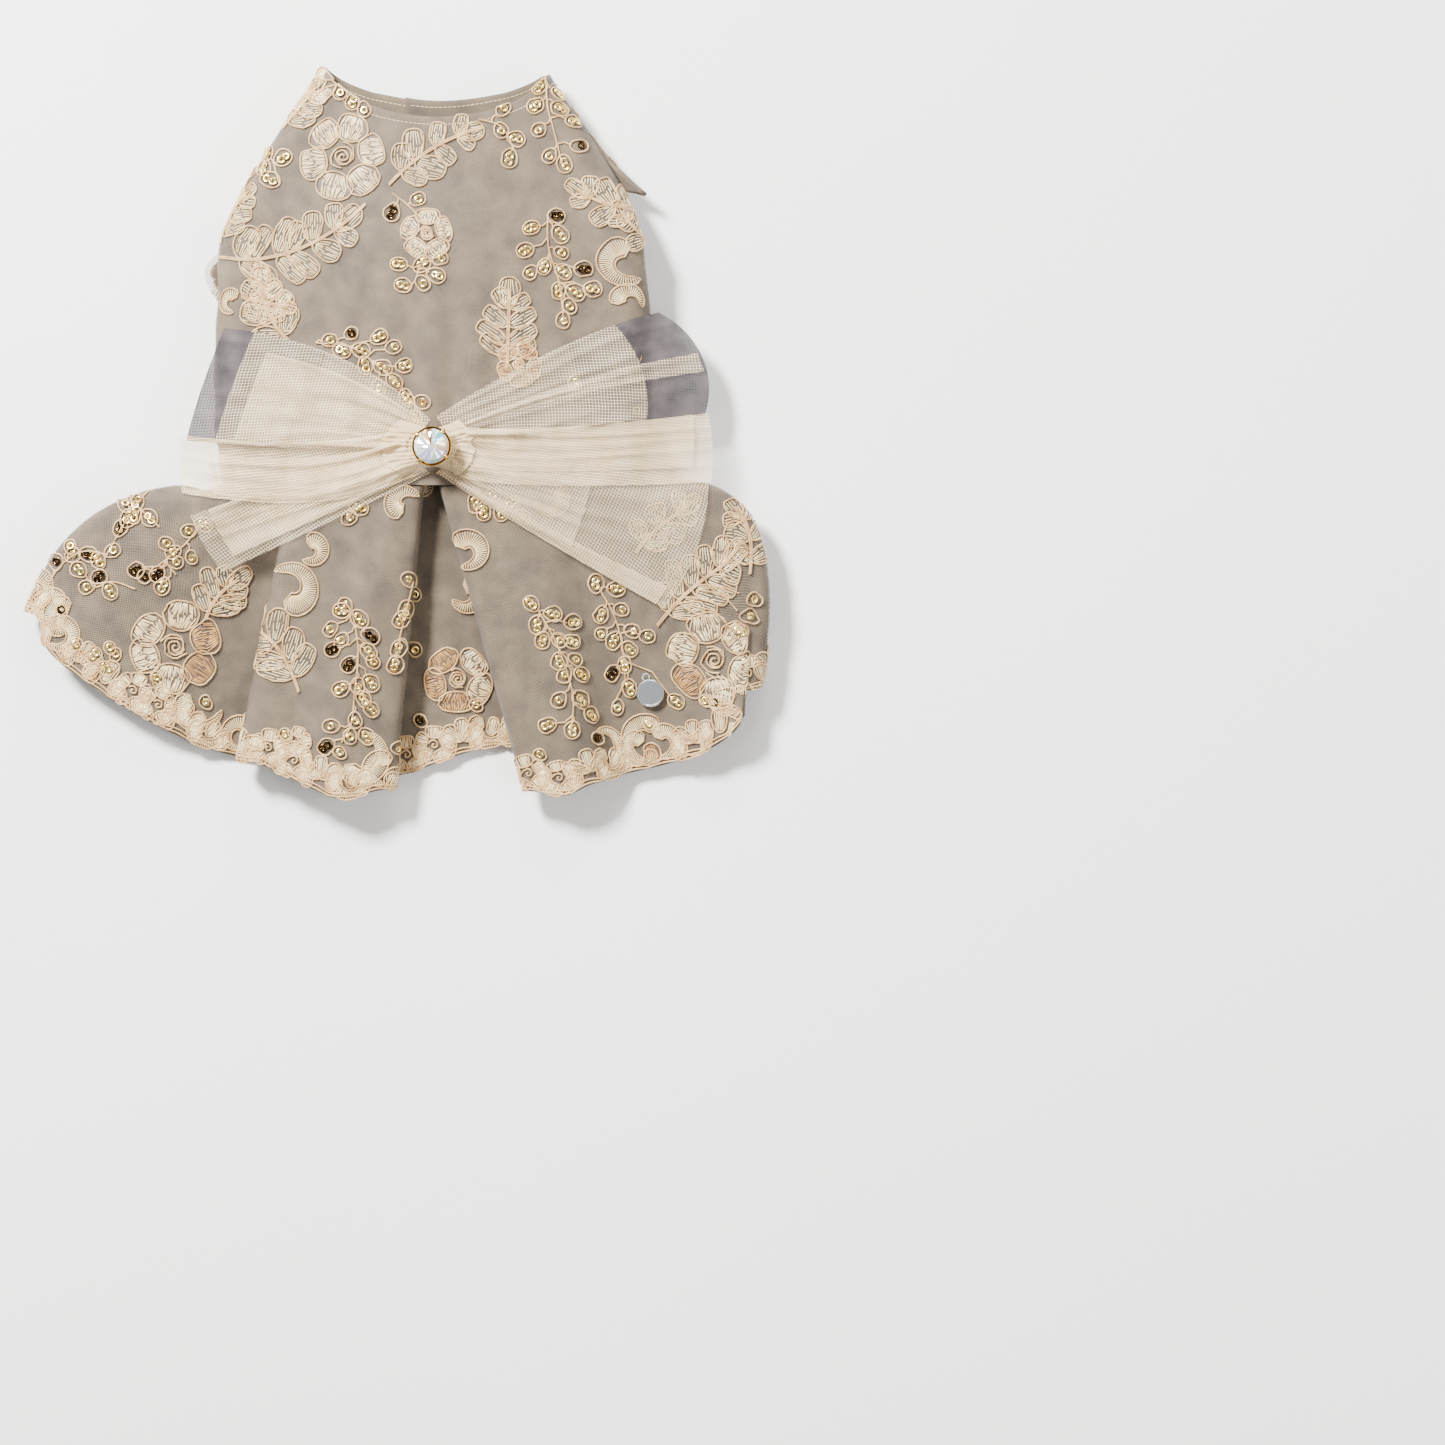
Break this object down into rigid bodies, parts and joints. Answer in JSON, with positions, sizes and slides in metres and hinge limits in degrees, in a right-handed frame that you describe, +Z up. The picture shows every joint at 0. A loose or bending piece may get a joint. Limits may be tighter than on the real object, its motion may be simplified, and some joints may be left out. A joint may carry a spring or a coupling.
{
  "type": "dog dress",
  "caption": "Small dog's dress of embroidered net over fleece with a pleated flared skirt, a tulle bow with a cut stone and a round charm, lying flat with its bow up.",
  "frame": {"origin": "on the surface that the dress lies on, at the middle of the belly band's flat underside", "axes": "X across the dress, +Y from the skirt towards the neck, +Z up from the surface towards the bow"},
  "size_m": [0.2611, 0.2561, 0.0419],
  "materials": {
    "fleece": "soft warm grey fleece",
    "bodice_lace": "net with raised embroidery and sequins",
    "strap_lace": "net with raised embroidery over fleece",
    "flounce_lace": "gathered net with raised embroidery",
    "skirt_lace": "net with raised embroidery, sequins and a worked border",
    "closure": "hook-and-loop tape",
    "tulle": "sheer ivory tulle",
    "gold": "bright gold plate",
    "stone": "cut stone with an iridescent coat",
    "charm_steel": "bright brushed steel"
  },
  "bodies": {
    "root": {"back_lining": "fleece", "back_lace": "bodice_lace", "belly_flap_outer": "strap_lace", "belly_flap_inner": "strap_lace", "belly_closure": "closure", "throat_flap_outer": "strap_lace", "throat_flap_inner": "strap_lace", "throat_closure": "closure", "flounce_left": "flounce_lace", "flounce_right": "flounce_lace", "skirt_lining": "fleece", "skirt_lace": "skirt_lace", "bow_tail_left": "tulle", "bow_tail_right": "tulle", "bow_wing_left": "tulle", "bow_wing_right": "tulle", "bow_loop_left": "tulle", "bow_loop_right": "tulle", "bow_knot": "tulle", "stone_cup": "gold", "stone": "stone", "charm": "charm_steel"}
  },
  "joints": []
}
